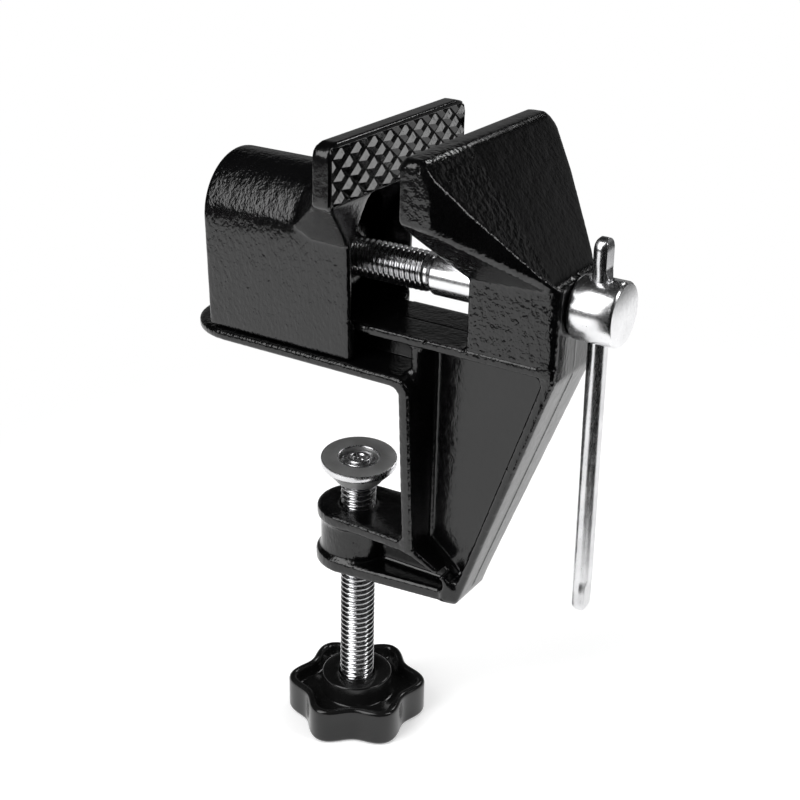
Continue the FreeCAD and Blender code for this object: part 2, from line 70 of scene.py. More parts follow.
def noise(tree, scale, detail=2.0, rough=0.5, stretch=None):
    """Noise over the object's own coordinates, scale per metre."""
    coord = add(tree, "ShaderNodeTexCoord")
    node = add(tree, "ShaderNodeTexNoise", Scale=scale, Detail=detail, Roughness=rough)
    if stretch:
        mapping = add(tree, "ShaderNodeMapping")
        mapping.inputs["Scale"].default_value = stretch
        tree.links.new(coord.outputs["Object"], mapping.inputs["Vector"])
        tree.links.new(mapping.outputs["Vector"], node.inputs["Vector"])
    else:
        tree.links.new(coord.outputs["Object"], node.inputs["Vector"])
    return node.outputs["Fac"]


def remap(tree, source, start, end, low, high, kind):
    """Map start..end on to low..high."""
    node = add(tree, "ShaderNodeMapRange", interpolation_type=kind)
    for key, value in (("From Min", start), ("From Max", end), ("To Min", low), ("To Max", high)):
        node.inputs[key].default_value = value
    tree.links.new(source, node.inputs["Value"])
    return node.outputs["Result"]


def spread(tree, source, low, high):
    """Map the range that a noise mostly keeps to, 0.3..0.7, on to low..high."""
    return remap(tree, source, 0.3, 0.7, low, high, "LINEAR")


def fade(tree, source, start, end, low=0.0, high=1.0):
    """Map start..end smoothly on to low..high."""
    return remap(tree, source, start, end, low, high, "SMOOTHSTEP")


def maths(tree, operation, one, two):
    """The result of a maths node over two sockets."""
    node = add(tree, "ShaderNodeMath", operation=operation)
    tree.links.new(one, node.inputs[0])
    tree.links.new(two, node.inputs[1])
    return node.outputs[0]


def times(tree, one, two):
    """The product of two sockets."""
    return maths(tree, "MULTIPLY", one, two)


def larger(tree, one, two):
    """The larger of two sockets."""
    return maths(tree, "MAXIMUM", one, two)


def ramp(tree, source, stops):
    """Colour ramp over a 0..1 value."""
    node = add(tree, "ShaderNodeValToRGB")
    points = node.color_ramp.elements
    while len(points) < len(stops):
        points.new(0.5)
    for point, (at, shade) in zip(points, stops):
        point.position = at
        point.color = (*shade, 1.0)
    tree.links.new(source, node.inputs["Fac"])
    return node.outputs["Color"]


def bumps(tree, shader, layers):
    """Chain bump nodes on to the shader: (source, strength or its socket, height in mm)."""
    last = None
    for source, strength, height in layers:
        node = add(tree, "ShaderNodeBump", Distance=height * MM)
        if isinstance(strength, float):
            node.inputs["Strength"].default_value = strength
        else:
            tree.links.new(strength, node.inputs["Strength"])
        tree.links.new(source, node.inputs["Height"])
        if last:
            tree.links.new(last.outputs["Normal"], node.inputs["Normal"])
        last = node
    tree.links.new(last.outputs["Normal"], shader.inputs["Normal"])


# ---------------------------------------------------------------- materials
def make_enamel():
    """Black enamel, coarser on the arch and the near side, most of all on the block and jaw."""
    mat, tree, shader = new_material("enamel_black")
    shader.inputs["IOR"].default_value = 1.5
    where = add(tree, "ShaderNodeSeparateXYZ")
    coord = add(tree, "ShaderNodeTexCoord")
    tree.links.new(coord.outputs["Object"], where.inputs[0])
    x, y, z = (where.outputs[axis] for axis in "XYZ")
    near_half = fade(tree, y, -0.0085, -0.0100)
    arch = times(tree, fade(tree, z, 0.024, 0.034), fade(tree, x, 0.004, -0.024))
    side = times(tree, near_half, fade(tree, z, 0.033, 0.030))
    block_and_jaw = times(tree, near_half, fade(tree, x, 0.028, 0.034))
    block_and_jaw = times(tree, block_and_jaw, fade(tree, z, 0.006, 0.012))
    coarse = larger(tree, arch, side)
    tone = noise(tree, 70.0, 1.0)
    swell = noise(tree, 300.0, 2.0, 0.5, (1.0, 0.8, 0.7))
    skin = noise(tree, 1000.0, 2.5, 0.55, (1.0, 1.0, 0.6))
    peel = noise(tree, 560.0, 2.0, 0.5)
    fine = noise(tree, 2600.0, 2.0, 0.5)
    colour = ramp(tree, tone, [(0.35, (0.0010, 0.0010, 0.0011)), (0.65, (0.0022, 0.0022, 0.0024))])
    tree.links.new(colour, shader.inputs["Base Color"])
    tree.links.new(spread(tree, skin, 0.13, 0.22), shader.inputs["Roughness"])
    bumps(tree, shader, [(swell, fade(tree, coarse, 0.0, 1.0, 0.16, 0.30), 0.55),
                         (skin, fade(tree, coarse, 0.0, 1.0, 0.15, 0.52), 0.40),
                         (peel, fade(tree, block_and_jaw, 0.0, 1.0, 0.0, 0.60), 0.50),
                         (fine, 0.12, 0.05)])
    return mat


def make_metal(name, dark, light, rough, scale, bump, stretch=None):
    """Metal with soiling from dark to light and grain, scale per metre, over the rough range."""
    mat, tree, shader = new_material(name)
    shader.inputs["Metallic"].default_value = 1.0
    soil = noise(tree, 160.0, 3.0)
    grain = noise(tree, scale, 3.0, 0.6, stretch)
    colour = ramp(tree, soil, [(0.3, dark), (0.7, light)])
    tree.links.new(colour, shader.inputs["Base Color"])
    tree.links.new(spread(tree, grain, *rough), shader.inputs["Roughness"])
    bumps(tree, shader, [(grain, bump, 0.04)])
    return mat


def make_plastic():
    """Glossy black moulded plastic."""
    mat, tree, shader = new_material("knob_plastic")
    shader.inputs["IOR"].default_value = 1.46
    grain = noise(tree, 900.0, 2.0)
    tone = noise(tree, 120.0, 2.0)
    colour = ramp(tree, tone, [(0.3, (0.004, 0.004, 0.004)), (0.7, (0.008, 0.008, 0.008))])
    tree.links.new(colour, shader.inputs["Base Color"])
    tree.links.new(spread(tree, grain, 0.13, 0.20), shader.inputs["Roughness"])
    bumps(tree, shader, [(grain, 0.10, 0.05), (tone, 0.08, 0.4)])
    return mat


enamel = make_enamel()
nickel = make_metal("nickel_plate", (0.70, 0.70, 0.71), (0.80, 0.80, 0.81), (0.18, 0.28),
                    1400.0, 0.10)
bar_steel = make_metal("bar_steel", (0.56, 0.56, 0.57), (0.70, 0.70, 0.71), (0.20, 0.30),
                       2200.0, 0.22, (1.0, 1.0, 0.12))
zinc = make_metal("zinc_thread", (0.50, 0.50, 0.51), (0.66, 0.66, 0.67), (0.12, 0.20),
                  1800.0, 0.12)
dark_steel = make_metal("pad_dark", (0.50, 0.50, 0.50), (0.68, 0.68, 0.68), (0.42, 0.54),
                        1500.0, 0.22)
bright_steel = make_metal("pad_bright", (0.60, 0.60, 0.61), (0.75, 0.75, 0.76), (0.22, 0.32),
                          1500.0, 0.18)
plastic = make_plastic()


# ---------------------------------------------------------------- mesh helpers
def put(name, data):
    """A new object of the data, linked to the scene."""
    obj = bpy.data.objects.new(name, data)
    bpy.context.scene.collection.objects.link(obj)
    return obj


def dress(obj, body, nodes=()):
    """Let the object ride on a body, in place of the nodes."""
    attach(obj, body)
    if nodes:
        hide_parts(*nodes)
    return obj


def piece(name, points, faces, body, material, nodes=()):
    """A smooth object from millimetre points, riding on a body in place of the nodes."""
    mesh = bpy.data.meshes.new(name)
    mesh.from_pydata([tuple(p) for p in np.asarray(points, float) * MM], [], faces)
    mesh.update()
    mesh.validate()
    obj = put(name, mesh)
    mesh.materials.append(material)
    mesh.shade_smooth()
    return dress(obj, body, nodes)


def crisp(obj, degrees):
    """Keep edges sharper than this crisp under smooth shading."""
    obj.data.set_sharp_from_angle(angle=math.radians(degrees))
    return obj


def around_z(count):
    """Angles of the points of a ring about Z."""
    return np.linspace(0, FULL_TURN, count, endpoint=False)


def hoop(radius, z, count):
    """A ring about Z; the radius is one number or one for each point."""
    angles = around_z(count)
    return np.column_stack([radius * np.cos(angles), radius * np.sin(angles), np.full(count, z)])


def rings(rows, closed_ends=True):
    """Faces of stacked rings: rows is (count, around, 3). Ends are fanned shut."""
    rows = np.asarray(rows, float)
    count, around, _ = rows.shape
    points = rows.reshape(-1, 3)
    faces = []
    for i in range(count - 1):
        for j in range(around):
            k = (j + 1) % around
            faces.append((i * around + j, i * around + k, (i + 1) * around + k,
                          (i + 1) * around + j))
    if closed_ends:
        low, high = len(points), len(points) + 1
        points = np.vstack([points, rows[0].mean(0), rows[-1].mean(0)])
        top = (count - 1) * around
        for j in range(around):
            k = (j + 1) % around
            faces.append((low, k, j))
            faces.append((high, top + j, top + k))
    return points, faces


def looped(rows):
    """Faces of stacked rings, the last of which joins the first."""
    points, faces = rings([*rows, rows[0]], False)
    count = len(points) - len(rows[0])
    faces = [tuple(v - count if v >= count else v for v in face) for face in faces]
    return points[:count], faces


def turned(profile, around=96, wrap=False):
    """Solid of revolution about Z from (radius, z) pairs; wrap closes the profile on itself."""
    rows = [hoop(radius, z, around) for radius, z in profile]
    return looped(rows) if wrap else rings(rows)


def soften(profile, radius, steps=3):
    """Round the inner corners of an open polyline of (radius, z) pairs."""
    out = [profile[0]]
    for before, corner, after in zip(profile, profile[1:], profile[2:]):
        before, corner, after = (np.array(p, float) for p in (before, corner, after))
        one, two = before - corner, after - corner
        reach = min(radius, np.linalg.norm(one) * 0.45, np.linalg.norm(two) * 0.45)
        start = corner + one / np.linalg.norm(one) * reach
        end = corner + two / np.linalg.norm(two) * reach
        for t in np.linspace(0, 1, steps + 1):
            out.append(tuple((1 - t) ** 2 * start + 2 * t * (1 - t) * corner + t * t * end))
    out.append(profile[-1])
    return out


def threaded(radius, depth, low, high, around=72, per_pitch=12, lead=1.0):
    """Rings of a right-hand thread about Z, tapered over the lead at both ends.

    The crest is flat over its share of half a pitch, and the flank takes the next.
    """
    crest_share, flank_share = 0.12, 0.70
    angles = around_z(around)
    rows = []
    for z in np.arange(low, high + 1e-6, THREAD_PITCH / per_pitch):
        phase = (z / THREAD_PITCH - angles / FULL_TURN) % 1.0
        wave = np.abs(phase * 2 - 1)
        cut = np.clip((wave - crest_share) / flank_share, 0, 1)
        r = radius - depth * cut
        end = min(z - low, high - z)
        if end < lead:
            r = np.minimum(r, radius - depth * 1.05 * (1 - end / lead))
        rows.append(hoop(r, z, around))
    return rings(rows)


def along_x(points):
    """Turn points built about Z so that they lie along the spindle's axis."""
    points = np.asarray(points, float)
    return np.column_stack([points[:, 2], points[:, 1], SPINDLE_Z - points[:, 0]])


# ---------------------------------------------------------------- casting helpers
ADD, CUT = True, False      # what a feature does to a casting
VOXEL = 0.26


def node_surface(name):
    """Points in millimetres and triangles of a CAD node."""
    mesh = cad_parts[name].data
    points = np.empty(len(mesh.vertices) * 3, np.float32)
    mesh.vertices.foreach_get("co", points)
    mesh.calc_loop_triangles()
    corners = np.empty(len(mesh.loop_triangles) * 3, np.int32)
    mesh.loop_triangles.foreach_get("vertices", corners)
    return points.reshape(-1, 3) / MM, corners.reshape(-1, 3)


def block(low, high, soft=0.0):
    """Distance to a box with its edges rounded by soft, negative inside, and its reach."""
    low, high = np.array(low, float), np.array(high, float)

    def distance(x, y, z):
        mid, half = (low + high) / 2, (high - low) / 2
        qx, qy, qz = (np.abs(c - m) - h + soft for c, m, h in zip((x, y, z), mid, half))
        out = np.sqrt(np.maximum(qx, 0) ** 2 + np.maximum(qy, 0) ** 2 + np.maximum(qz, 0) ** 2)
        return out + np.minimum(np.maximum(np.maximum(qx, qy), qz), 0) - soft

    return distance, low, high


def rod(start, end, radius):
    """Distance to a round-ended rod, and its reach."""
    start, end = np.array(start, float), np.array(end, float)
    run = end - start

    def distance(x, y, z):
        t = ((x - start[0]) * run[0] + (y - start[1]) * run[1] + (z - start[2]) * run[2])
        t = np.clip(t / run.dot(run), 0, 1)
        return np.sqrt((x - start[0] - t * run[0]) ** 2 + (y - start[1] - t * run[1]) ** 2
                       + (z - start[2] - t * run[2]) ** 2) - radius

    return distance, np.minimum(start, end) - radius, np.maximum(start, end) + radius


def round_over(x0, z0, radius, slope, half):
    """Distance to what rounding an edge along Y takes away, past an arc about (x0, z0).

    The arc runs from straight up to where its rise is slope times its run.
    """
    far_off = 9.0

    def distance(x, y, z):
        dx, dz = x - x0, z - z0
        gap = radius - np.sqrt(dx ** 2 + dz ** 2) + 0 * y
        return np.where((dx > 0) & (dz > dx * slope), gap, far_off)

    return distance, np.array((x0, -half, z0)), np.array((x0 + radius, half, z0 + radius))


def cast(name, edge, fillet, features):
    """The node with its corners filled to one radius and its edges rounded to another.

    The solid is grown by the fillet, drawn in past its own surface by the edge radius, and
    grown back. The features, (shape, ADD or CUT), then stay crisp.
    """
    points, faces = node_surface(name)
    place = openvdb.createLinearTransform(VOXEL)

    def level_set(points, triangles, quads, reach):
        extra = {"quads": quads} if quads is not None and len(quads) else {}
        return openvdb.FloatGrid.createLevelSetFromPolygons(
            points, triangles=triangles, transform=place, halfWidth=reach / VOXEL + 3, **extra)

    grid = level_set(points, faces, None, fillet)
    points, faces, quads = grid.convertToPolygons(isovalue=fillet)
    grid = level_set(points, faces, quads, fillet + edge)
    points, faces, quads = grid.convertToPolygons(isovalue=-(fillet + edge))
    grid = level_set(points, faces, quads, edge)
    limit = grid.background
    margin = 4
    for (distance, low, high), adds in features:
        start = np.floor(low / VOXEL).astype(int) - margin
        count = np.ceil(high / VOXEL).astype(int) + margin - start
        values = np.empty(count, np.float32)
        grid.copyToArray(values, ijk=tuple(int(v) for v in start))
        axes = [(np.arange(n) + a).astype(np.float32) * VOXEL for n, a in zip(count, start)]
        gap = distance(axes[0][:, None, None], axes[1][None, :, None], axes[2][None, None, :])
        values = np.minimum(values, gap + edge) if adds else np.maximum(values, edge - gap)
        grid.copyFromArray(np.clip(values, -limit, limit).astype(np.float32),
                           ijk=tuple(int(v) for v in start), tolerance=0.0)
    return grid.convertToPolygons(isovalue=edge, adaptivity=0.02)


def casting(name, node, body, edge, fillet, features):
    """The casting of a node as an enamelled piece."""
    points, triangles, quads = cast(node, edge, fillet, features)
    faces = [tuple(int(v) for v in face[::-1]) for face in (*triangles, *quads)]
    return piece(name, points, faces, body, enamel, (node,))


# ---------------------------------------------------------------- castings
# The pattern on both jaw faces: where it lies in Y and Z, and how deep its valleys are.
KNURL = dict(low=46.1, high=59.2, left=-28.7, right=29.3, depth=0.95)
RAIL_HALF = 10.8            # half the width of the rail's head
RAIL_TOP = 12.0
LINE_RADIUS = 0.24          # of the paint and mould lines


def rail_slot(s):
    """Clears the slot under one side of the rail's head: s is -1 near the camera, else 1."""
    half, middle = 4.85, s * 7.6
    return block((-46.0, middle - half, 2.85), (20.2, middle + half, 9.62)), CUT


def rail_side(s):
    """The band along one side of the rail's head, the paint lines by it, and a nick in it."""
    deep, rim = sorted((s * 9.3, s * RAIL_HALF))
    low, high = sorted((s * 10.3, s * RAIL_HALF))
    line_y, under_z, over_z = s * 10.75, 9.6, 12.15
    return [
        (block((9.0, deep, 9.75), (57.4, rim, RAIL_TOP), 0.5), ADD),
        (rod((20.5, line_y, under_z), (56.5, line_y, under_z), LINE_RADIUS), CUT),
        (rod((36.6, line_y, over_z), (54.5, line_y, over_z), LINE_RADIUS), CUT),
        (block((25.2, low - 0.6, 11.3), (25.7, high + 0.6, 13.0)), CUT),
    ]


def knurl_recess(x_low, x_high):
    """Room for the pattern in a jaw face."""
    return block((x_low, KNURL["left"], KNURL["low"]), (x_high, KNURL["right"], KNURL["high"])), CUT


top_line = rod((2.0, 0, 12.12), (35.5, 0, 12.12), 0.26)
jaw_ridge = round_over(32.78, 57.25, 3.2, 0.816, 30.0)
front_mould_line = rod((59.0, 0, 10.0), (59.0, 0, 16.5), LINE_RADIUS)
flange_mould_line = rod((58.8, 0, 7.8), (35.6, 0, -57.0), LINE_RADIUS)
body_features = [
    rail_slot(-1),
    rail_slot(1),
    *rail_side(-1),
    *rail_side(1),
    knurl_recess(28.0, 30.1),
    (top_line, CUT),
    (jaw_ridge, CUT),
    (front_mould_line, ADD),
    (flange_mould_line, ADD),
]
# The slide's slot: over the rail's head, round the rail's neck, and open below the jaw.
head_slot = block((-40.0, -11.1, 9.5), (8.0, 11.1, 12.2))
neck_slot = block((-40.0, -3.0, 0.0), (8.0, 3.0, 10.5))
mouth = block((2.0, -11.1, 0.0), (8.0, 11.1, 10.5))
slide_features = [
    (head_slot, CUT),
    (neck_slot, CUT),
    (mouth, CUT),
    knurl_recess(10.28, 12.5),
]
casting("body_casting_cast", "body_casting", "frame", 0.8, 1.2, body_features)
casting("slide_casting_cast", "slide_casting", "slide", 0.75, 1.0, slide_features)


# ---------------------------------------------------------------- jaw patterns
def diamond(bm, y0, z0):
    """A flat-topped pyramid about (y0, z0), with the valley's floor round its foot."""
    half_y, half_z = 3.35, 2.5
    crest, foot = 0.38, 0.90
    corners = [(dy * half_y, dz * half_z) for dy, dz in ((-1, 0), (0, -1), (1, 0), (0, 1))]

    def outline(height, share):
        return [bm.verts.new((height, y0 + dy * share, z0 + dz * share)) for dy, dz in corners]

    outer = outline(0.0, 1.0)
    inner = outline(0.0, foot)
    top = outline(KNURL["depth"], crest)
    bm.faces.new(top)
    for i in range(4):
        k = (i + 1) % 4
        bm.faces.new((outer[i], outer[k], inner[k], inner[i]))
        bm.faces.new((inner[i], inner[k], top[k], top[i]))


def knurl(name, body, face, facing):
    """Raised diamond pyramids over a jaw face at X, peaks in the face's own plane."""
    pitch_y, pitch_z = 6.7, 2.52
    first_y, first_z = -34.0, 59.12
    skirt_x = -0.6
    bm = bmesh.new()
    for row in range(-1, 8):
        stagger = pitch_y / 2 if row % 2 else 0.0
        for column in range(-1, 11):
            diamond(bm, first_y + pitch_y * column + stagger, first_z - pitch_z * row)
    bmesh.ops.remove_doubles(bm, verts=bm.verts, dist=0.15)
    for point, normal in (((0, KNURL["left"], 0), (0, -1, 0)), ((0, KNURL["right"], 0), (0, 1, 0)),
                          ((0, 0, KNURL["low"]), (0, 0, -1)), ((0, 0, KNURL["high"]), (0, 0, 1))):
        geom = bm.verts[:] + bm.edges[:] + bm.faces[:]
        bmesh.ops.bisect_plane(bm, geom=geom, plane_co=point, plane_no=normal, clear_outer=True)
    border = [e for e in bm.edges if e.is_boundary]
    for element in bmesh.ops.extrude_edge_only(bm, edges=border)["geom"]:
        if isinstance(element, bmesh.types.BMVert):
            element.co.x = skirt_x
    bmesh.ops.recalc_face_normals(bm, faces=bm.faces)
    base = face - facing * KNURL["depth"]
    for v in bm.verts:
        v.co = Vector((base + facing * v.co.x, v.co.y, v.co.z)) * MM
    if facing < 0:
        bmesh.ops.reverse_faces(bm, faces=bm.faces)
    mesh = bpy.data.meshes.new(name)
    bm.to_mesh(mesh)
    bm.free()
    mesh.materials.append(enamel)
    return dress(put(name, mesh), body)


knurl("rear_jaw_knurl", "slide", 11.30, 1)
knurl("front_jaw_knurl", "frame", 29.08, -1)

# ---------------------------------------------------------------- spindle and its head
BAR_X = 64.44                       # of the bar's axis, in the middle of the spindle's head
BAR_LEAN = math.radians(2.39)


def on_bar(points):
    """Points built about Z from the head's centre, leaned with the bar."""
    points = np.asarray(points, float)
    c, s = math.cos(BAR_LEAN), math.sin(BAR_LEAN)
    return np.column_stack([points[:, 0] + BAR_X, points[:, 1] * c - points[:, 2] * s,
                            SPINDLE_Z + points[:, 1] * s + points[:, 2] * c])


def drill(obj, cutter):
    """Take the cutter's shape out of the object, and the cutter out of the scene."""
    bore = obj.modifiers.new(cutter.name, "BOOLEAN")
    bore.operation = "DIFFERENCE"
    bore.solver = "EXACT"
    bore.object = cutter
    depsgraph = bpy.context.evaluated_depsgraph_get()
    drilled = bpy.data.meshes.new_from_object(obj.evaluated_get(depsgraph))
    obj.modifiers.clear()
    obj.data = drilled
    bpy.data.objects.remove(cutter)


def make_spindle():
    """Thread, plain neck with the pin's groove in it, and the head with its cross hole."""
    points, faces = threaded(4.94, 0.78, -19.0, 20.9)
    piece("spindle_thread", along_x(points), faces, "spindle", zinc,
          ("main_spindle",))
    neck = soften([(0.0, 19.0), (4.3, 19.0), (4.3, 21.2), (5.17, 22.6), (5.17, 45.1),
                   (3.5, 45.3), (3.5, 48.7), (5.17, 48.9), (5.17, 59.6), (0.0, 59.6)], 0.15)
    points, faces = turned(neck[1:-1])
    crisp(piece("spindle_neck", along_x(points), faces, "spindle", nickel,
                ("main_spindle",)), 35.0)
    points, faces = turned([(0.001, 59.25), (6.6, 59.25), (7.0, 59.35), (7.6, 59.95),
                            (7.73, 60.3), (7.73, 69.75), (7.60, 70.02), (7.30, 70.36),
                            (7.10, 70.4), (0.001, 70.4)], 128)
    head = piece("spindle_head", along_x(points), faces, "spindle", nickel,
                 ("main_spindle",))
    points, faces = turned([(4.2, -9.5), (2.95, -7.8), (2.46, -7.1), (2.46, 7.1), (2.95, 7.8),
                            (4.2, 9.5)], 64)
    drill(head, piece("cross_hole", on_bar(points), faces, "spindle", nickel))
    crisp(head, 30.0)


make_spindle()


# ---------------------------------------------------------------- tommy bar
def ease(t):
    """A smooth step from 0 to 1, flat outside them."""
    t = min(max(t, 0.0), 1.0)
    return t * t * (3 - 2 * t)


def make_bar():
    """Round bar with both ends pressed flat, a little wider there, and rounded at the tips."""
    radius = 2.38
    low, high = -80.7, 17.3
    tip_length = 2.75
    around = 64
    angles = around_z(around)
    stations = np.concatenate([tip_length * (1 - np.cos(np.linspace(0.12, math.pi / 2, 12))),
                               np.linspace(3.0, 11.0, 30)])
    rows = []
    for mark in np.concatenate([low + stations, high - stations[::-1]]):
        s = min(mark - low, high - mark)
        wide = radius + 0.33 * ease((9.5 - s) / 4.0)
        half = radius - 0.72 * ease((10.2 - s) / 3.4)
        if s < tip_length:
            tip = math.sqrt(max(1 - (1 - s / tip_length) ** 2, 0.0))
            wide *= tip
            half *= 0.45 + 0.55 * tip
        across = np.clip(radius * np.cos(angles), -half, half)
        rows.append(np.column_stack([across, wide * np.sin(angles), np.full(around, mark)]))
    points, faces = rings(rows)
    crisp(piece("tommy_bar_rod", on_bar(points), faces, "bar", bar_steel,
                ("tommy_bar",)), 24.0)


make_bar()


# ---------------------------------------------------------------- clamp screw, washer and pad
def make_clamp_screw():
    """Thread, and the turned-down end with its riveted, dimpled head."""
    points, faces = threaded(4.68, 0.74, -107.6, -35.9)
    piece("clamp_thread", points, faces, "clamp", zinc, ("clamp_screw",))
    rivet = soften([(2.98, -35.2), (2.98, -30.78), (3.42, -30.76), (3.42, -30.6), (3.05, -30.28),
                    (2.5, -30.2), (2.1, -30.35), (1.8, -30.8), (1.35, -30.95), (0.95, -30.7),
                    (0.5, -30.66), (0.05, -30.9)], 0.10)
    points, faces = turned(rivet)
    crisp(piece("clamp_tenon", points, faces, "clamp", bright_steel,
                ("clamp_screw",)), 50.0)


def make_washer():
    """Washer under the rivet's head."""
    profile = [(3.05, -31.5), (3.05, -30.82), (4.45, -30.82), (4.6, -30.95), (4.6, -31.45),
               (4.5, -31.55), (3.15, -31.55)]
    points, faces = turned(profile, 96, True)
    crisp(piece("washer_ring", points, [f[::-1] for f in faces], "pad_carrier", bright_steel,
                ("pad_washer",)), 40.0)


def leaned(points):
    """Points tilted with the pad about its pivot on the screw."""
    pivot = np.array((0, 0, -33.4))
    toward = math.radians(216.1)
    axis = Vector((math.cos(toward), math.sin(toward), 0))
    turn = np.array(Matrix.Rotation(math.radians(-5.9), 3, axis))
    return (np.asarray(points, float) - pivot) @ turn.T + pivot


def make_pad():
    """Swivel pad: cone, rim, flat face and recess, with the rim and recess edge polished."""
    around = 128
    profile = [(3.9, -34.0), (5.6, -36.3), (6.4, -36.3), (6.5, -35.9), (9.75, -32.2),
               (10.05, -31.7), (10.1, -31.3), (10.1, -30.42), (9.98, -30.16), (9.75, -30.07),
               (5.6, -30.07), (5.35, -30.16), (5.2, -30.4), (5.2, -32.0), (5.05, -32.15),
               (3.9, -32.15)]
    rim_bands, recess_bands = (4, 5, 6, 7, 8), (10, 11)
    points, faces = turned(profile, around, True)
    pad = crisp(piece("pressure_pad_turned", leaned(points), faces, "pad", dark_steel,
                      ("pressure_pad",)), 40.0)
    pad.data.materials.append(bright_steel)
    for face in pad.data.polygons:
        face.material_index = int(face.index // around in rim_bands + recess_bands)


make_clamp_screw()
make_washer()
make_pad()


# ---------------------------------------------------------------- star knob
def make_knob():
    """Six-lobed knob with a rounded rim, a sunk face and a raised hub round the screw."""
    around = 240
    lobes, mean_radius, swing = 6, 17.5, 1.65
    foot_round, rim_round, rim_z = 1.3, 1.15, -100.95
    angles = around_z(around)
    edge = mean_radius - swing * np.cos(lobes * angles)
    slope = lobes * swing * np.sin(lobes * angles)
    length = np.hypot(edge, slope)
    # (nx, ny) is the outline's outward normal.
    nx = (edge * np.cos(angles) + slope * np.sin(angles)) / length
    ny = (edge * np.sin(angles) - slope * np.cos(angles)) / length

    def lobed(inset, z):
        """A ring of the knob's outline, drawn in by the inset."""
        return np.column_stack([edge * np.cos(angles) - inset * nx,
                                edge * np.sin(angles) - inset * ny, np.full(around, z)])

    quarter = [(math.sin(t), math.cos(t)) for t in np.linspace(0, math.pi / 2, 6)]
    hub = [(11.0, -103.2), (10.2, -103.05), (9.95, -102.7), (9.7, -97.75), (9.6, -97.45),
           (9.3, -97.3), (5.35, -97.3), (5.1, -97.5), (5.05, -102.0), (4.7, -102.0)]
    rows = [hoop(4.7, KNOB_FOOT_Z, around), hoop(9.0, KNOB_FOOT_Z, around)]
    rows += [lobed(1.6, KNOB_FOOT_Z)]
    rows += [lobed(foot_round * (1 - a), KNOB_FOOT_Z + foot_round * (1 - b))
             for a, b in quarter[1:]]
    rows += [lobed(0.0, -101.3)]
    rows += [lobed(rim_round * (1 - b), rim_z + rim_round * a) for a, b in quarter]
    rows += [lobed(rim_round + rim_round * a, rim_z + rim_round * b) for a, b in quarter[1:]]
    rows += [lobed(2.75, -102.7), lobed(3.1, -103.1), lobed(3.6, -103.2)]
    rows += [hoop(radius, z, around) for radius, z in hub]
    points, faces = looped(rows)
    crisp(piece("star_knob_moulded", points, faces, "clamp", plastic,
                ("star_knob",)), 50.0)


make_knob()

# ---------------------------------------------------------------- carried-over nodes
pin_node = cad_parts["retaining_pin"]
pin_node.data.materials.clear()
pin_node.data.materials.append(zinc)


# ---------------------------------------------------------------- stage, in metres
def ray_kinds(tree):
    """Sockets that are 1 for camera rays, for glossy or transmission rays, and for them all."""
    path = add(tree, "ShaderNodeLightPath")
    camera_ray = path.outputs["Is Camera Ray"]
    glossy_ray = larger(tree, path.outputs["Is Glossy Ray"], path.outputs["Is Transmission Ray"])
    return camera_ray, glossy_ray, larger(tree, camera_ray, glossy_ray)


def mixed(tree, share, one, two):
    """The second shader by its share, else the first."""
    node = add(tree, "ShaderNodeMixShader")
    tree.links.new(share, node.inputs[0])
    tree.links.new(one, node.inputs[1])
    tree.links.new(two, node.inputs[2])
    return node.outputs[0]


def grey_light(tree, kind, shade, strength):
    """An emission or background node of one grey."""
    node = add(tree, kind, Strength=strength)
    node.inputs["Color"].default_value = (shade, shade, shade, 1)
    return node


def make_floor_material():
    """White floor that keeps the shadow; far off it is plain white to the camera, and dark in
    reflections, as behind the object."""
    near_lift = 0.26
    middle = (0.06, 0.06, 0.0)
    backward = (0.5, 0.866, 0.0)
    mat = bpy.data.materials.new("floor_white")
    mat.use_nodes = True
    tree = mat.node_tree
    tree.nodes.clear()
    out = add(tree, "ShaderNodeOutputMaterial")
    camera_ray, glossy_ray, shown_ray = ray_kinds(tree)
    diffuse = add(tree, "ShaderNodeBsdfDiffuse")
    diffuse.inputs["Color"].default_value = (0.92, 0.92, 0.92, 1)
    lift = grey_light(tree, "ShaderNodeEmission", 1.0, 1.0)
    lift_share = add(tree, "ShaderNodeMath", operation="MULTIPLY")
    lift_share.inputs[1].default_value = near_lift
    tree.links.new(shown_ray, lift_share.inputs[0])
    tree.links.new(lift_share.outputs[0], lift.inputs["Strength"])
    near = add(tree, "ShaderNodeAddShader")
    tree.links.new(diffuse.outputs[0], near.inputs[0])
    tree.links.new(lift.outputs[0], near.inputs[1])
    glow = grey_light(tree, "ShaderNodeEmission", 1.0, 1.0).outputs[0]
    dim = grey_light(tree, "ShaderNodeEmission", 0.05, 1.0).outputs[0]
    coord = add(tree, "ShaderNodeTexCoord")
    away = add(tree, "ShaderNodeVectorMath", operation="DISTANCE")
    away.inputs[1].default_value = middle
    tree.links.new(coord.outputs["Object"], away.inputs[0])
    away = away.outputs["Value"]
    behind = add(tree, "ShaderNodeVectorMath", operation="DOT_PRODUCT")
    behind.inputs[1].default_value = backward
    tree.links.new(coord.outputs["Object"], behind.inputs[0])
    behind = behind.outputs["Value"]
    surface = mixed(tree, times(tree, fade(tree, away, 0.10, 0.28), camera_ray),
                    near.outputs[0], glow)
    surface = mixed(tree, times(tree, fade(tree, away, 0.57, 0.69), glossy_ray), surface, dim)
    surface = mixed(tree, times(tree, fade(tree, behind, 0.42, 0.54), glossy_ray), surface, dim)
    tree.links.new(surface, out.inputs["Surface"])
    return mat


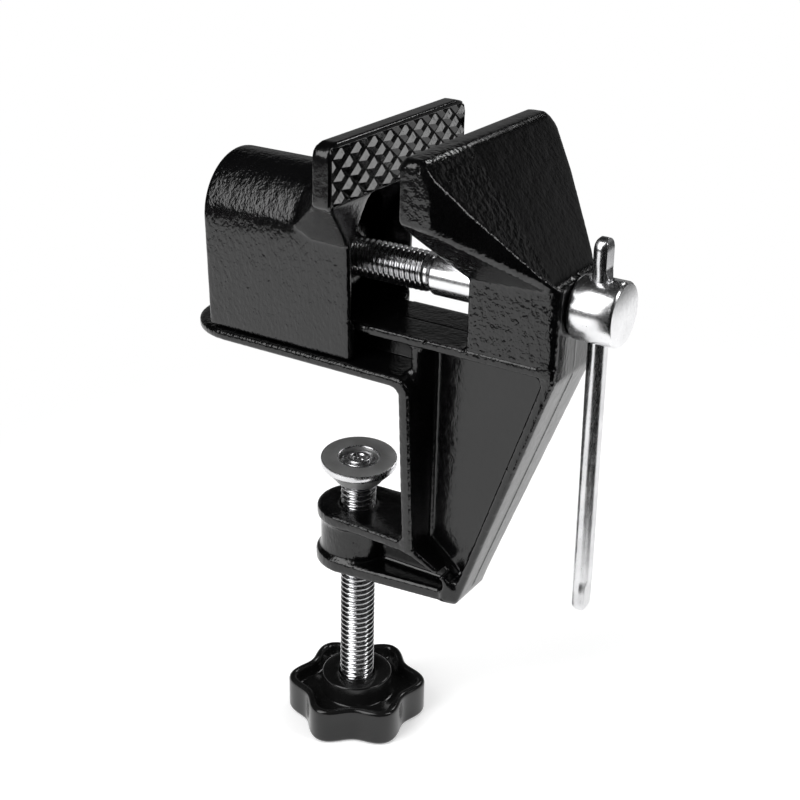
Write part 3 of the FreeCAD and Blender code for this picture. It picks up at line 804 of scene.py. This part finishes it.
def make_floor():
    """Round floor, a gap in millimetres under the knob."""
    reach, corners, gap = 4, 96, 0.05
    mesh = bpy.data.meshes.new("floor")
    turns = [FULL_TURN * i / corners for i in range(corners)]
    mesh.from_pydata([(reach * math.cos(t), reach * math.sin(t), 0) for t in turns], [],
                     [tuple(range(corners))])
    mesh.materials.append(make_floor_material())
    floor = put("floor", mesh)
    floor.location.z = (KNOB_FOOT_Z - gap) * MM


def make_world():
    """White to the camera, a plain fill on the object, and dark in reflections but for a
    dim glow behind."""
    world = bpy.data.worlds.new("studio")
    bpy.context.scene.world = world
    world.use_nodes = True
    tree = world.node_tree
    tree.nodes.clear()
    out = add(tree, "ShaderNodeOutputWorld")
    camera_ray, glossy_ray, _ = ray_kinds(tree)
    coord = add(tree, "ShaderNodeTexCoord")
    toward = add(tree, "ShaderNodeSeparateXYZ")
    tree.links.new(coord.outputs["Generated"], toward.inputs[0])
    white = grey_light(tree, "ShaderNodeBackground", 1.0, 1.0).outputs[0]
    fill = grey_light(tree, "ShaderNodeBackground", 1.0, 0.5).outputs[0]
    studio = add(tree, "ShaderNodeBackground", Strength=1.0)
    behind = times(tree, fade(tree, toward.outputs["Y"], -0.1, 0.35),
                   fade(tree, toward.outputs["Z"], 0.45, 0.28))
    tree.links.new(fade(tree, behind, 0.0, 1.0, 0.008, 0.20), studio.inputs["Color"])
    surface = mixed(tree, glossy_ray, fill, studio.outputs[0])
    surface = mixed(tree, camera_ray, surface, white)
    tree.links.new(surface, out.inputs["Surface"])


def make_card():
    """A black card in front, seen only in the metal and the gloss."""
    corners = ((0.049, -0.119), (0.150, -0.086), (0.183, 0.015))
    foot, top = -0.11, 0.06
    mat, _, shader = new_material("card_black")
    shader.inputs["Base Color"].default_value = (0.002, 0.002, 0.002, 1)
    shader.inputs["Roughness"].default_value = 1.0
    shader.inputs["Specular IOR Level"].default_value = 0.0
    mesh = bpy.data.meshes.new("card")
    mesh.from_pydata([(x, y, z) for z in (foot, top) for x, y in corners], [],
                     [(0, 1, 4, 3), (1, 2, 5, 4)])
    mesh.materials.append(mat)
    card = put("card", mesh)
    card.visible_camera = False
    card.visible_diffuse = False
    card.visible_shadow = False
    card.visible_transmission = False


def lamp(name, place, target, size, power):
    """Soft rectangular lamp at a place, aimed at a target, power in watts."""
    data = bpy.data.lights.new(name, "AREA")
    data.shape = "RECTANGLE"
    data.size, data.size_y = size
    data.energy = power
    obj = put(name, data)
    obj.location = place
    aim = Vector(target) - Vector(place)
    obj.rotation_euler = aim.to_track_quat("-Z", "Y").to_euler()


make_floor()
make_world()
make_card()
lamp("key", (-0.295, -0.731, 0.616), (0, 0, 0), (0.62, 1.15), 9.0)
lamp("side", (0.69, 0.10, 0.50), (0, 0, 0.03), (0.26, 0.50), 2.4)
lamp("back", (0.11, 0.74, 0.67), (0.03, 0, 0.05), (0.28, 0.15), 0.9)


# ---------------------------------------------------------------- camera
def make_camera():
    """The photograph's camera: angles in degrees, place in millimetres."""
    azimuth, elevation, roll = (math.radians(a) for a in (31.635, 24.56, 1.285))
    place = Vector((182.76, -276.81, 137.77)) * MM
    right = Vector((math.cos(azimuth), math.sin(azimuth), 0))
    back = Vector((math.sin(azimuth) * math.cos(elevation),
                   -math.cos(azimuth) * math.cos(elevation), math.sin(elevation)))
    up = back.cross(right)
    axes = Matrix((math.cos(roll) * right + math.sin(roll) * up,
                   -math.sin(roll) * right + math.cos(roll) * up, back))
    lens = bpy.data.cameras.new("camera")
    lens.lens = 63.73
    lens.sensor_width = 36.0
    lens.clip_start = 0.01
    camera = put("camera", lens)
    camera.matrix_world = Matrix.Translation(place) @ axes.transposed().to_4x4()
    bpy.context.scene.camera = camera


make_camera()
bpy.context.scene.view_settings.view_transform = "Standard"
